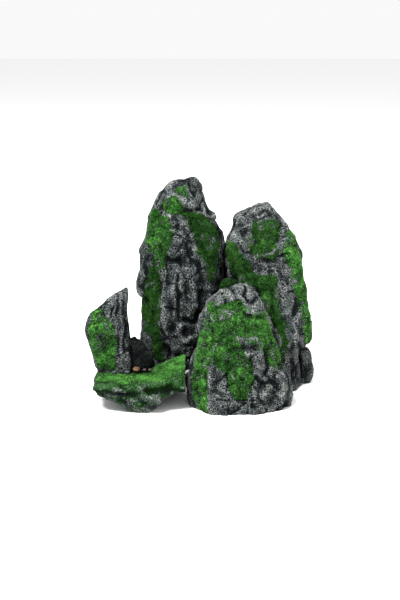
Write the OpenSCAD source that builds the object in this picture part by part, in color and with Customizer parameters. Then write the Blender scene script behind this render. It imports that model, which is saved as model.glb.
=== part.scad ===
// Cave ornament for an aquarium: five cast stones, three filler stones, flocked moss
// and a few pebbles, bonded together at flat lands round a vaulted cave.
// Left, right, front and back are as seen from the front, which faces -Y.

/* [Tall peak] */
// Width of the tall peak
tall_w = 64; // [50:1:80]
// Depth of the tall peak
tall_d = 54; // [44:1:68]
// Height of the tall peak
tall_h = 150; // [120:1:182]

/* [Right peak] */
// Width of the right peak
right_w = 65.5; // [52:0.5:80]
// Depth of the right peak
right_d = 54; // [44:1:68]
// Height of the right peak
right_h = 132; // [105:1:160]
// Width of the right peak's foot below the heel stone's top
right_foot_w = 55; // [44:1:60]

/* [Front boulder] */
// Width of the boulder
boulder_w = 73; // [60:1:90]
// Depth of the boulder
boulder_d = 46.5; // [38:0.5:58]
// Height of the boulder
boulder_h = 83.5; // [68:0.5:104]
// How far the boulder reaches left of the seam between the peaks
boulder_reach = 28.5; // [24:0.5:36]

/* [Ledge] */
// Width of the ledge
ledge_w = 63.5; // [52:0.5:78]
// Depth of the ledge
ledge_d = 46; // [38:0.5:55]
// Height of the ledge's flat top
ledge_h = 20; // [16:0.5:25]
// Rise of the ledge towards the boulder
ledge_rise = 8; // [4:0.5:12]
// Height of the low arch under the ledge
arch_h = 10; // [7:0.5:12]

/* [Left spire] */
// Width of the spire
spire_w = 32; // [26:0.5:40]
// Depth of the spire
spire_d = 17; // [13:0.5:19]
// Height of the spire above the ledge
spire_h = 60; // [48:0.5:74]
// How far the spire hangs out past the ledge's left end
spire_overhang = 6.5; // [3:0.5:9]

/* [Saddle stone] */
// Width of the saddle stone
saddle_w = 15; // [11:0.5:19]
// Depth of the saddle stone
saddle_d = 12; // [9:0.5:15]
// Height of the saddle stone above the ledge
saddle_h = 21; // [16:0.5:26]

/* [Keystone] */
// Width of the keystone
key_w = 15; // [11:0.5:19]
// Height of the keystone
key_h = 18; // [14:0.5:22]
// Depth of the chamfer on the boulder that the keystone sits on
key_seat = 16.5; // [13:0.5:20]

/* [Heel stone] */
// Width of the heel stone
heel_w = 9; // [7:0.5:12]
// Depth of the heel stone
heel_d = 18; // [14:0.5:24]
// Height of the heel stone
heel_h = 25.5; // [20:0.5:32]
// Distance of the heel stone behind the front land
heel_setback = 15; // [10:0.5:22]

/* [Cave] */
// Width of the cave left of the seam, at the floor
cave_left = 20; // [14:1:28]
// Width of the cave right of the seam, at the floor
cave_right = 20; // [14:1:28]
// Height of the cave's vault at the seam
cave_h = 62; // [50:1:76]
// Reach of the low side passage left of the seam, from the arch into the cave
passage_reach = 40; // [32:1:44]
// Height of the low side passage
passage_h = 18; // [14:1:22]

/* [Casting] */
// Wall of the hollow stones, measured towards their middle
wall = 5; // [4:0.5:7]
// Solid stone above the hollow in the two peaks
peak_roof = 32; // [24:1:44]
// Solid stone above the hollow in the boulder
boulder_roof = 20; // [14:1:28]

/* [Bonding] */
// Gap that the adhesive fills between two stones
bond_gap = 0.2; // [0.1:0.05:0.5]
// Diameter of the cast pegs under the spire and the saddle stone
peg_d = 5; // [4:0.5:6]
// Length of the cast pegs
peg_h = 5; // [4:0.5:6]
// Clearance round and under a peg in its socket
peg_fit = 0.25; // [0.1:0.05:0.5]
// Depth of the crags on the stones
crag = 1.5; // [0.5:0.1:2.2]

/* [Moss] */
// Thickness of the flocked moss at the middle of a patch
moss_t = 1.6; // [0.8:0.1:2.4]
// Thickness of the adhesive under the moss
glue_t = 0.4; // [0.3:0.05:0.6]
// Distance that the moss keeps above the stone or moss under it
moss_clear = 3; // [2:0.5:5]

/* [Pebbles] */
// Diameter of the two grey pebbles
grey_d = 3.4; // [2.5:0.1:4.2]
// Diameter of the orange pebble
orange_d = 5.6; // [4:0.1:7]
// Diameter of the two rose pebbles
rose_d = 3; // [2:0.1:3.6]
// Distance between a pebble and the stone behind it
pebble_gap = 0.7; // [0.6:0.1:1.2]

/* [Hidden] */

// Points round a stone, and rings between two courses
sides = 28;
steps = 2;
// Roundness of a stone's section: 1 is an ellipse, less is squarer
squareness = 0.8;
// How far a land reaches above the heel stone before the peak swells out again
swell = 5;
// How far a stone's outline may reach past a land before it is cut flat
land_cut = 2.5;
// Size from which a stone has crags of the full depth
big_stone = 40;

stone_grey = [0.33, 0.36, 0.37];
dark_grey = [0.20, 0.22, 0.23];
key_green = [0.30, 0.34, 0.22];
moss_green = [0.20, 0.36, 0.16];
pebble_grey = [0.55, 0.60, 0.63];
pebble_orange = [0.70, 0.48, 0.28];
pebble_rose = [0.60, 0.46, 0.42];

function mix(a, b, t) = a + (b - a) * t;
function mean(list, i = 0) = i == len(list) ? 0 * list[0] : list[i] / len(list) + mean(list, i + 1);
function soft(v) = sign(v) * pow(abs(v), squareness);

// Uneven surface of a stone, from -1 to 1, at a turn in degrees and a height
function crags(turn, level, seed) =
    0.5 * sin(3 * turn + 2.1 * level + 40 * seed)
    + 0.3 * sin(5 * turn - 5.3 * level + 70 * seed)
    + 0.2 * sin(8 * turn + 9.1 * level + 110 * seed);

// A stone keeps to its room, which at each height is a box: [left, right, front, back].
// Its sides are cut flat there, as a land, where the stone would reach out of the room.
far = 1000;
function fit_box(box, room) = [
    max(box[0], room[0] - land_cut), min(box[1], room[1] + land_cut),
    max(box[2], room[2] - land_cut), min(box[3], room[3] + land_cut)];
function hold(p, room) = [min(max(p.x, room[0]), room[1]), min(max(p.y, room[2]), room[3]), p.z];

// A course is a stone's section at one height: [height, left, right, front, back] as shares
// of the stone's own size. A turn goes from the front to the right, the back and the left.
function course_ring(course, place, size, seed, room) =
    let (
        level = place.z + course[0] * size.z,
        box = fit_box([place.x + course[1] * size.x, place.x + course[2] * size.x,
            place.y + course[3] * size.y, place.y + course[4] * size.y], room(level)),
        centre = [box[0] + box[1], box[2] + box[3]] / 2,
        half = [box[1] - box[0], box[3] - box[2]] / 2,
        depth = crag * min(1, min(size.x, size.y) / big_stone)
    )
    [for (side = [0 : sides - 1])
        let (turn = side * 360 / sides, rough = depth * crags(turn, level, seed))
        hold([centre.x + half.x * soft(sin(turn)) + rough * sin(turn),
            centre.y - half.y * soft(cos(turn)) - rough * cos(turn), level], room(level))];

// Rows of a table up to the last, with evenly spaced steps added between them
function between(rows, last) = [
    for (r = [0 : last - 1]) for (s = [0 : steps - 1]) mix(rows[r], rows[r + 1], s / steps),
    rows[last]
];

// The skin of an upright stone: [its rings from the foot up, its tip, each ring's share of
// the height]. The last course is the tip, and has no size.
function stone_skin(place, size, courses, seed, room) =
    let (last = len(courses) - 2, tip = courses[last + 1])
    [[for (course = between(courses, last)) course_ring(course, place, size, seed, room)],
        place + [tip[1] * size.x, tip[3] * size.y, tip[0] * size.z],
        [for (course = between(courses, last)) course[0]]];

// Faces of a skin whose rings start at point first; they look outwards, or inwards if turned
function side_faces(first, count, inwards = false) = [
    for (r = [0 : count - 2]) for (s = [0 : sides - 1])
        let (n = (s + 1) % sides, a = first + r * sides, b = a + sides)
        each inwards
            ? [[a + s, a + n, b + s], [a + n, b + n, b + s]]
            : [[a + s, b + s, a + n], [a + n, b + s, b + n]]
];
// Fan from one ring to one point, seen from the side on which the ring turns clockwise
function fan(first, centre) = [for (s = [0 : sides - 1]) [first + s, first + (s + 1) % sides, centre]];
function flip(faces) = [for (f = faces) [f[0], f[2], f[1]]];

module skin_solid(skin) {
    rings = skin[0];
    count = len(rings);
    total = count * sides;
    points = [for (ring = rings) each ring, mean(rings[0]), skin[1]];
    polyhedron(points, concat(side_faces(0, count), fan(0, total),
        flip(fan(total - sides, total + 1))));
}

// A stone cast hollow, open at the foot: every second ring up to the roof is repeated a
// wall further in
function inset(ring) =
    let (centre = mean(ring))
    [for (p = ring) centre + (p - centre) * max(0.2, 1 - wall / norm(p - centre))];

module skin_shell(skin, roof) {
    rings = skin[0];
    count = len(rings);
    top = skin[1].z - roof;
    hollow = [for (r = [0 : 2 : count - 1]) if (rings[r][0].z < top) inset(rings[r])];
    inner = count * sides;
    total = inner + len(hollow) * sides;
    points = [for (ring = concat(rings, hollow)) each ring, mean(hollow[len(hollow) - 1]), skin[1]];
    rim = [for (s = [0 : sides - 1])
        let (n = (s + 1) % sides) each [[s, n, inner + s], [n, inner + n, inner + s]]];
    polyhedron(points, concat(side_faces(0, count), flip(fan(inner - sides, total + 1)),
        side_faces(inner, len(hollow), true), fan(total - sides, total), rim));
}

// A vault with a round roof: how far it reaches from the seam at a height
function vault(reach, height, level) = reach * sqrt(max(0, 1 - pow(level / height, 2)));
// On its left the cave is as wide as its vault or the side passage, whichever reaches further
function left_wall(level) = -half_gap - max(vault(cave_left, cave_h, level),
    vault(passage_reach, passage_h, level));
function right_wall(level) = half_gap + vault(cave_right, cave_h, level);

half_gap = bond_gap / 2;

// Tall peak: its right side is cut by the seam and the vault, its front by the front land
tall_skin = stone_skin([-tall_w, 0, 0], [tall_w, tall_d, tall_h], [
    [0.00, 0.02, 1.06, -0.04, 0.96],
    [0.06, 0.03, 1.06, -0.04, 0.97],
    [0.12, 0.03, 1.06, -0.04, 0.98],
    [0.22, 0.02, 1.06, -0.03, 1.00],
    [0.32, 0.04, 1.06, 0.00, 0.99],
    [0.42, 0.05, 1.06, 0.03, 0.97],
    [0.51, 0.00, 1.04, 0.06, 0.95],
    [0.60, 0.02, 1.01, 0.08, 0.93],
    [0.66, 0.04, 1.00, 0.10, 0.91],
    [0.70, 0.09, 1.00, 0.11, 0.89],
    [0.75, 0.12, 0.99, 0.14, 0.86],
    [0.82, 0.13, 0.87, 0.17, 0.82],
    [0.89, 0.22, 0.79, 0.22, 0.77],
    [0.94, 0.29, 0.74, 0.27, 0.70],
    [0.97, 0.40, 0.71, 0.33, 0.64],
    [0.99, 0.52, 0.67, 0.40, 0.57],
    [1.00, 0.61, 0.61, 0.48, 0.48]
], 1, function(level) [-far, left_wall(level), half_gap, far]);

// Right peak: cut by the seam, the vault, the front land and, low down, the heel's land
heel_top = heel_h + bond_gap;
right_skin = stone_skin([0, 0, 0], [right_w, right_d, right_h], [
    [0.00, -0.06, 0.85, -0.04, 0.94],
    [0.11, -0.06, 0.85, -0.04, 0.96],
    [heel_top / right_h, -0.06, 0.86, -0.02, 0.98],
    [(heel_top + swell) / right_h, -0.06, 0.95, -0.02, 0.98],
    [0.38, -0.06, 0.95, 0.02, 0.99],
    [0.47, -0.06, 0.92, 0.05, 0.97],
    [0.56, -0.06, 0.88, 0.08, 0.95],
    [0.65, -0.05, 0.86, 0.11, 0.92],
    [0.74, -0.03, 0.81, 0.14, 0.89],
    [0.79, -0.01, 0.77, 0.16, 0.87],
    [0.83, 0.03, 0.735, 0.18, 0.84],
    [0.88, 0.085, 0.69, 0.21, 0.80],
    [0.92, 0.11, 0.63, 0.25, 0.75],
    [0.96, 0.19, 0.56, 0.31, 0.68],
    [0.985, 0.28, 0.50, 0.39, 0.60],
    [1.00, 0.42, 0.42, 0.50, 0.50]
], 2, function(level) [right_wall(level),
    level < heel_top + swell / 2 ? right_foot_w : far, half_gap, far]);

// Front boulder: its back lies on the front land, its left end on the ledge, and its crest
// has a chamfer behind, where the keystone sits
boulder_skin = stone_skin([-boulder_reach, -boulder_d, 0], [boulder_w, boulder_d, boulder_h], [
    [0.00, 0.01, 0.99, 0.01, 1.05],
    [0.11, 0.00, 1.00, 0.02, 1.06],
    [0.265, 0.00, 0.95, 0.05, 1.06],
    [0.41, 0.07, 0.90, 0.10, 1.06],
    [0.54, 0.11, 0.875, 0.16, 1.06],
    [0.635, 0.12, 0.81, 0.21, 1.06],
    [0.73, 0.155, 0.745, 0.27, 1.05],
    [0.79, 0.18, 0.71, 0.31, 1.04],
    [0.84, 0.195, 0.70, 0.35, 1.03],
    [0.91, 0.26, 0.685, 0.40, 1.00],
    [0.97, 0.34, 0.64, 0.47, 0.95],
    [0.99, 0.43, 0.57, 0.53, 0.80],
    [1.00, 0.50, 0.50, 0.60, 0.60]
], 3, function(level) [half_gap - boulder_reach, far, -far,
    min(-half_gap, boulder_h - key_seat - level)]);

// Ledge: its skin runs from the left end to the right. A station is
// [share of the width, front, back, bottom, top], with the last two in millimetres
// above the floor and above the flat top. A turn goes from the front to the bottom.
ledge_stations = [
    [0.00, 0.20, 0.80, 12, -4],
    [0.03, 0.12, 0.94, 11, -1.5],
    [0.10, 0.05, 1.02, 9, 1.5],
    [0.18, 0.02, 1.05, 7, 3],
    [0.27, 0.00, 1.06, 4.5, 3],
    [0.34, 0.01, 1.06, 1, 3],
    [0.40, 0.02, 1.06, -3, 3],
    [0.55, 0.00, 1.06, -3, 3],
    [0.66, 0.00, 1.06, -3, 3],
    [0.72, 0.00, 1.06, 0.1 * arch_h, 3 + 0.15 * ledge_rise],
    [0.79, 0.03, 1.06, 0.65 * arch_h, 3 + 0.36 * ledge_rise],
    [0.89, 0.06, 1.06, 0.95 * arch_h, 3 + 0.67 * ledge_rise],
    [1.00, 0.08, 1.06, arch_h, 3 + ledge_rise]
];
// Share of the ledge's width whose top is a level land: it reaches a little past the saddle
// stone, and then the ledge rises to the boulder
land_spare = 2;
ledge_level = (spire_w - spire_overhang + saddle_w + land_spare) / ledge_w;
// Crags of the ledge's top and bottom, as a share of those of its front
top_crags = 0.6;
function ledge_top(share) =
    ledge_h + ledge_rise * max(0, share - ledge_level) / (1 - ledge_level);
ledge_left = -boulder_reach - ledge_w;

function ledge_point(station, turn) =
    let (
        x = station[0] * ledge_w,
        rough = crag * crags(turn, x, 4),
        bottom = station[3],
        top = ledge_h + station[4],
        middle = [(station[1] + station[2]) * ledge_d, top + bottom] / 2,
        half = [(station[2] - station[1]) * ledge_d, top - bottom] / 2,
        y = middle[0] - ledge_d - half[0] * soft(cos(turn)) - rough * cos(turn),
        z = middle[1] - half[1] * soft(sin(turn)) - top_crags * rough * sin(turn)
    )
    [min(ledge_left + x, -boulder_reach - half_gap), min(y, -half_gap),
        max(0, min(z, ledge_top(station[0])))];

function ledge_ring(station) = [for (side = [0 : sides - 1]) ledge_point(station, side * 360 / sides)];

ledge_rows = between(ledge_stations, len(ledge_stations) - 1);
ledge_rings = [for (row = ledge_rows) ledge_ring(row)];
ledge_skin = [ledge_rings, mean(ledge_rings[len(ledge_rings) - 1]), [for (row = ledge_rows) row[0]]];

// Left spire, standing on the ledge, with the saddle stone on its right
spire_left = ledge_left - spire_overhang;
spire_right = spire_left + spire_w;
stand_z = ledge_h + bond_gap;
spire_skin = stone_skin([spire_left, -spire_d - bond_gap, stand_z], [spire_w, spire_d, spire_h], [
    [0.00, 0.26, 1.04, 0.02, 1.00],
    [0.075, 0.21, 1.05, 0.00, 1.02],
    [0.22, 0.12, 1.04, 0.00, 1.03],
    [0.375, 0.03, 1.00, 0.02, 1.00],
    [0.47, 0.00, 0.96, 0.04, 0.98],
    [0.57, 0.03, 0.93, 0.07, 0.96],
    [0.67, 0.09, 0.91, 0.11, 0.93],
    [0.76, 0.27, 0.91, 0.15, 0.90],
    [0.86, 0.50, 0.95, 0.22, 0.84],
    [0.95, 0.73, 0.98, 0.32, 0.74],
    [0.985, 0.84, 0.97, 0.42, 0.64],
    [1.00, 0.91, 0.91, 0.53, 0.53]
], 5, function(level) [-far, spire_right - half_gap, -far, -half_gap]);

saddle_skin = stone_skin([spire_right, -saddle_d - bond_gap, stand_z], [saddle_w, saddle_d, saddle_h], [
    [0.00, -0.08, 1.00, 0.02, 1.05],
    [0.25, -0.08, 0.95, 0.00, 1.05],
    [0.50, -0.08, 0.74, 0.08, 1.05],
    [0.75, -0.06, 0.58, 0.18, 1.00],
    [0.93, -0.02, 0.36, 0.32, 0.86],
    [1.00, 0.15, 0.15, 0.55, 0.55]
], 6, function(level) [spire_right + half_gap, far, -far, -half_gap]);

// Keystone, wedged between the boulder's chamfer and the peaks
key_foot = boulder_h - key_seat;
key_d = 0.75 * key_seat;
// How far the keystone's middle stands right of the seam
key_shift = 2;
key_skin = stone_skin([key_shift - key_w / 2, -key_d, key_foot], [key_w, key_d, key_h], [
    [0.20, 0.15, 0.85, 0.60, 1.05],
    [0.35, 0.05, 0.95, 0.30, 1.06],
    [0.55, 0.00, 1.00, 0.05, 1.06],
    [0.78, 0.06, 0.94, 0.06, 1.05],
    [0.93, 0.22, 0.80, 0.22, 0.92],
    [1.00, 0.50, 0.50, 0.55, 0.55]
], 7, function(level) [-far, far, key_foot + 1.5 * bond_gap - level, -half_gap]);

// Heel stone, against the right peak's foot and under its swell
heel_skin = stone_skin([right_foot_w, heel_setback, 0], [heel_w, heel_d, heel_h], [
    [0.00, -0.30, 0.86, 0.06, 0.94],
    [0.20, -0.30, 0.98, 0.00, 1.00],
    [0.50, -0.30, 1.00, 0.02, 0.98],
    [0.80, -0.30, 0.94, 0.10, 0.92],
    [0.95, -0.25, 0.70, 0.22, 0.80],
    [1.00, 0.25, 0.25, 0.50, 0.50]
], 8, function(level) [right_foot_w + bond_gap, far, -far, far]);

// Moss lies on a skin as a mat, whose columns each cover this much of a turn at most
column_turn = 8;
// Each stop of a mat is [share, from, to]: how far along the skin it
// is, and the two turns between which the mat lies there.
// Thickness of a mat at its border, as a share of its full thickness
mat_border = 0.45;

function skin_point(skin, share, turn) =
    let (
        rings = skin[0],
        row = lookup(share, [for (i = [0 : len(rings) - 1]) [skin[2][i], i]]),
        r = min(floor(row), len(rings) - 2),
        column = (turn + 360) % 360 / 360 * sides,
        c = floor(column) % sides,
        n = (c + 1) % sides
    )
    mix(mix(rings[r][c], rings[r][n], column - floor(column)),
        mix(rings[r + 1][c], rings[r + 1][n], column - floor(column)), row - r);

// Unit direction out of a skin, from points a little way off on either side
function skin_out(skin, share, turn) =
    let (
        along = skin_point(skin, min(1, share + 0.03), turn) - skin_point(skin, share - 0.03, turn),
        across = skin_point(skin, share, turn + 8) - skin_point(skin, share, turn - 8),
        out = cross(across, along)
    )
    out / norm(out);

// Closer stops, for where a mat widens or narrows quickly
function closer(a, b) = [for (t = [0 : 0.25 : 1]) mix(a, b, t)];

// Turn at which the front of a skin lies this far to the right
function turn_at(skin, share, x) =
    lookup(x, [for (turn = [-80 : 4 : 60]) [skin_point(skin, share, turn).x, turn]]);

module moss_mat(skin, stops) {
    rows = between(stops, len(stops) - 1);
    count = len(rows);
    columns = max(4, 1 + ceil(max([for (stop = stops) stop[2] - stop[1]]) / column_turn));
    last = columns - 1;
    lift = function(r, c) glue_t + (r == 0 || r == count - 1 || c == 0 || c == last
        ? moss_t * mat_border : moss_t);
    mat_point = function(r, c, raise)
        let (turn = mix(rows[r][1], rows[r][2], c / last))
        skin_point(skin, rows[r][0], turn) + raise * skin_out(skin, rows[r][0], turn);
    under = [for (r = [0 : count - 1]) for (c = [0 : last]) mat_point(r, c, glue_t)];
    over = [for (r = [0 : count - 1]) for (c = [0 : last]) mat_point(r, c, lift(r, c))];
    up = count * columns;
    border = [
        for (c = [0 : last - 1]) c,
        for (r = [0 : count - 2]) r * columns + last,
        for (c = [last : -1 : 1]) (count - 1) * columns + c,
        for (r = [count - 1 : -1 : 1]) r * columns
    ];
    faces = [
        for (r = [0 : count - 2]) for (c = [0 : last - 1])
            let (a = r * columns + c, b = a + columns)
            each [[a, a + 1, b], [a + 1, b + 1, b],
                [up + a, up + b, up + a + 1], [up + a + 1, up + b, up + b + 1]],
        for (i = [0 : len(border) - 1])
            let (a = border[i], b = border[(i + 1) % len(border)])
            each [[a, up + a, b], [b, up + a, up + b]]
    ];
    polyhedron([each under, each over], faces);
}

// Lowest moss on the tall peak: over the ledge right of the saddle stone, and over that stone
over_ledge = (stand_z + 1.6 * moss_clear) / tall_h;
over_saddle = (stand_z + saddle_h + moss_clear) / tall_h;
saddle_right = spire_right + saddle_w;
foot_turn = turn_at(tall_skin, over_ledge, saddle_right + moss_clear / 4);
// Lowest moss on the right peak's edge, over the heel stone and the swell above it
over_heel = (heel_top + swell + moss_clear) / right_h;
// Where the moss on the boulder's left side may run past the ledge's end
over_end = (ledge_h + ledge_rise + moss_clear) / boulder_h;
// The carpet ends in front of the spire, and runs back to the peak beside the saddle stone
beside_saddle = (saddle_right + moss_clear / 2 - ledge_left) / ledge_w;

// The stones stand centred on the origin
stone_points = [for (skin = [tall_skin, right_skin, boulder_skin, ledge_skin, spire_skin, heel_skin])
    for (ring = skin[0]) for (p = ring) p];
x_values = [for (p = stone_points) p.x];
y_values = [for (p = stone_points) p.y];
to_origin = -[(min(x_values) + max(x_values)) / 2, (min(y_values) + max(y_values)) / 2, 0];

// Pegs stand at the middle of a stone's foot
function foot_centre(skin) = mean(skin[0][0]);

module peg(skin) {
    foot = foot_centre(skin);
    translate([foot.x, foot.y, stand_z - peg_h])
        cylinder(d = peg_d, h = peg_h + crag, $fn = 32);
}

module socket(skin) {
    foot = foot_centre(skin);
    translate([foot.x, foot.y, stand_z - peg_h - peg_fit])
        cylinder(d = peg_d + 2 * peg_fit, h = peg_h + ledge_rise, $fn = 32);
}

// Places of the pebbles, as shares of the width of the stone behind them: the grey ones to
// the left of the spire's right end, the others to the right of it, along the saddle stone
grey_places = [0.08, 0.36];
orange_place = 0.24;
rose_places = [0.62, 0.88];
// Height of a pebble, as a share of its diameter
pebble_flat = 0.7;

// A pebble lies on the ledge, its back edge a little way in front of a stone
module pebble(d, x, stone_front) {
    h = pebble_flat * d;
    arc = [for (a = [-90 : 22.5 : 90]) [d / 2 * cos(a), h / 2 * (1 + sin(a))]];
    translate([x, -stone_front - pebble_gap - d / 2, stand_z])
        rotate_extrude($fn = 32) polygon(arc);
}

module tall_peak() color(stone_grey) translate(to_origin) skin_shell(tall_skin, peak_roof);

module right_peak() color(stone_grey) translate(to_origin) skin_shell(right_skin, peak_roof);

module front_boulder() color(stone_grey) translate(to_origin)
    skin_shell(boulder_skin, boulder_roof);

module left_spire() color(stone_grey) translate(to_origin) {
    skin_solid(spire_skin);
    peg(spire_skin);
}

module ledge_slab() color(stone_grey) translate(to_origin) difference() {
    skin_solid(ledge_skin);
    socket(spire_skin);
    socket(saddle_skin);
}

module saddle_stone() color(dark_grey) translate(to_origin) {
    skin_solid(saddle_skin);
    peg(saddle_skin);
}

module keystone() color(key_green) translate(to_origin) skin_solid(key_skin);

module heel_stone() color(stone_grey) translate(to_origin) skin_solid(heel_skin);

module spire_moss() color(moss_green) translate(to_origin) moss_mat(spire_skin, [
    [0.07, -38, 0], [0.20, -50, 4], [0.45, -42, 14], [0.62, -38, 4], [0.74, -60, -30]]);

module tall_brow_moss() color(moss_green) translate(to_origin) moss_mat(tall_skin, [
    [0.86, -24, -2], [0.88, -40, 3], [0.90, -42, 0], [0.912, -30, -10]]);

module tall_crown_moss() color(moss_green) translate(to_origin) moss_mat(tall_skin, [
    [0.928, -4, 8], [0.945, -10, 8], [0.96, -10, 0]]);

module tall_left_moss() color(moss_green) translate(to_origin) moss_mat(tall_skin, [
    [0.59, -29, -22], [0.65, -40, -20], [0.72, -62, -18], [0.79, -62, -14], [0.825, -60, -22],
    [0.85, -60, -44]]);

module tall_foot_moss() color(moss_green) translate(to_origin) moss_mat(tall_skin, [
    [over_ledge, foot_turn, foot_turn + 13],
    each closer([over_saddle - 0.02, foot_turn + 1, foot_turn + 7], [over_saddle, -52, foot_turn + 3]),
    [over_saddle + 0.07, -76, foot_turn - 4], [0.43, -64, -24], [0.51, -48, -26], [0.59, -42, -32]]);

module tall_right_moss() color(moss_green) translate(to_origin) moss_mat(tall_skin, [
    [0.54, 32, 40], [0.62, 27, 46], [0.69, 15, 46], [0.76, 12, 46], [0.82, 9, 40],
    [0.85, 4, 20]]);

module right_hollow_moss() color(moss_green) translate(to_origin) moss_mat(right_skin, [
    [0.725, -6, 9], [0.79, -14, 22], [0.87, -17, 30], [0.92, -8, 26]]);

module right_left_moss() color(moss_green) translate(to_origin) moss_mat(right_skin, [
    [0.585, -24, -9], [0.66, -48, -14], [0.735, -56, -26], [0.795, -54, -44]]);

module right_centre_moss() color(moss_green) translate(to_origin) moss_mat(right_skin, [
    [0.14, 3, 8], [0.22, 0, 8], [0.32, -2, 7], [0.455, -4, 9], [0.56, -5, 11], [0.63, -9, 9]]);

module right_edge_moss() color(moss_green) translate(to_origin) moss_mat(right_skin, [
    [over_heel, 60, 72], [0.33, 46, 71], [0.43, 45, 70], [0.56, 42, 70], [0.68, 35, 70],
    [0.77, 30, 74], [0.855, 46, 60]]);

module boulder_tip_moss() color(moss_green) translate(to_origin) moss_mat(boulder_skin, [
    [0.80, -62, -50], [0.84, -66, -46], [0.87, -60, -50]]);

module boulder_crown_moss() color(moss_green) translate(to_origin) moss_mat(boulder_skin, [
    [0.635, -26, 73], [0.70, -31, 75], each closer([0.77, -37, 74], [0.80, -36, 28]), [0.84, -28, 20],
    [0.88, -8, 12]]);

module boulder_left_moss() color(moss_green) translate(to_origin) moss_mat(boulder_skin, [
    [0.03, -46, -31], [0.10, -60, -31], [0.22, -62, -33], [over_end - 0.03, -62, -33],
    [over_end + 0.02, -74, -34], [0.50, -78, -33], [0.62, -76, -31], [0.70, -62, -38],
    [0.75, -54, -44]]);

module boulder_centre_moss() color(moss_green) translate(to_origin) moss_mat(boulder_skin, [
    [0.15, -2, 7], [0.25, -6, 12], [0.35, -7, 12], [0.40, -20, 12], [0.475, -29, 7],
    [0.55, -28, 2], [0.615, -26, -3]]);

module boulder_shoulder_moss() color(moss_green) translate(to_origin) moss_mat(boulder_skin, [
    [0.36, 56, 66], [0.42, 46, 69], [0.475, 40, 69], [0.54, 28, 70], [0.58, 14, 71],
    [0.615, 3, 72]]);

module ledge_carpet_moss() color(moss_green) translate(to_origin) moss_mat(ledge_skin, [
    [0.05, -91, -75], [0.12, -91, -60], [0.25, -90, -55], [0.40, -90, -44], [0.55, -90, -52],
    [beside_saddle - 0.03, -92, -58], [beside_saddle + 0.03, -136, -55], [0.80, -138, -50],
    [0.90, -138, -62], [0.98, -138, -70]]);

module grey_pebbles() color(pebble_grey) translate(to_origin) for (place = grey_places)
    pebble(grey_d, spire_right - place * spire_w, spire_d);

module orange_pebble() color(pebble_orange) translate(to_origin)
    pebble(orange_d, spire_right + orange_place * saddle_w, saddle_d);

module rose_pebbles() color(pebble_rose) translate(to_origin) for (place = rose_places)
    pebble(rose_d, spire_right + place * saddle_w, saddle_d);

tall_peak();
right_peak();
front_boulder();
left_spire();
ledge_slab();
saddle_stone();
keystone();
heel_stone();
spire_moss();
tall_brow_moss();
tall_crown_moss();
tall_left_moss();
tall_foot_moss();
tall_right_moss();
right_hollow_moss();
right_left_moss();
right_centre_moss();
right_edge_moss();
boulder_tip_moss();
boulder_crown_moss();
boulder_left_moss();
boulder_centre_moss();
boulder_shoulder_moss();
ledge_carpet_moss();
grey_pebbles();
orange_pebble();
rose_pebbles();
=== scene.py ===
"""Cave ornament for an aquarium: the finish of its stones, moss and pebbles.

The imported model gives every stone's form and place. Here each stone gets its weathered skin,
each patch of moss its mat and its flock, and each pebble its worn shape.
Lengths are in metres, and the front faces -Y.
"""

from itertools import product
from math import cos, pi, radians, sin

import bpy
import numpy as np
from bpy.props import FloatProperty, FloatVectorProperty, IntProperty, PointerProperty
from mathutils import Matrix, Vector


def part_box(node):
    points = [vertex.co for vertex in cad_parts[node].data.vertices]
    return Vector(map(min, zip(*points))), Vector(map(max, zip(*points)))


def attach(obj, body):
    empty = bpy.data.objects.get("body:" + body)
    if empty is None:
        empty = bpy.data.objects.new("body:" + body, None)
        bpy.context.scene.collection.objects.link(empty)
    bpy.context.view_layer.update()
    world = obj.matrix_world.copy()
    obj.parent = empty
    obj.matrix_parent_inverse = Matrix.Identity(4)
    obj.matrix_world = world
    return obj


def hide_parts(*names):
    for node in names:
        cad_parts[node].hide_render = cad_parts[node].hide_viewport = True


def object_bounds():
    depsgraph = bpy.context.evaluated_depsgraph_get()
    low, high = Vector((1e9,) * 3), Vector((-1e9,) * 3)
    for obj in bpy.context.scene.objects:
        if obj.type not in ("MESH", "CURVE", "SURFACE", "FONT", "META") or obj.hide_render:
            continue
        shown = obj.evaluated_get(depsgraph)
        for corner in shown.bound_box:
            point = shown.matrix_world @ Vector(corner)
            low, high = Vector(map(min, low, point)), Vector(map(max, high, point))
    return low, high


bl_info = {
    "name": "Cave Ornament",
    "version": (1, 0, 0),
    "blender": (4, 5, 0),
    "location": "3D View > Sidebar > Cave",
    "description": "Builds the weathered stones, flocked moss and pebbles of a cave ornament",
    "category": "Add Mesh",
}

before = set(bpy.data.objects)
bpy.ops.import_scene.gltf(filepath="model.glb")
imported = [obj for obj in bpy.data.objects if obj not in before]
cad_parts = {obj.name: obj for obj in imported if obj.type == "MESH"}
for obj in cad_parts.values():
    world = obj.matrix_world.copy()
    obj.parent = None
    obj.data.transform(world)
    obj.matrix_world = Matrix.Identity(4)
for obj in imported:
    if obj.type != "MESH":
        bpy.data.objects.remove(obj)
CAD_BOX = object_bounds()
MM = 0.001

# ---------------------------------------------------------------- sizes and colours


def length_setting(name, default, low, high, description):
    """A setting for a length, its values given in millimetres."""
    return FloatProperty(name=name, description=description, default=default * MM,
        min=low * MM, max=high * MM, subtype="DISTANCE")


def paint_setting(name, default, description):
    """A setting for a colour."""
    return FloatVectorProperty(name=name, description=description, default=default,
        min=0, max=1, subtype="COLOR")


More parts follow.
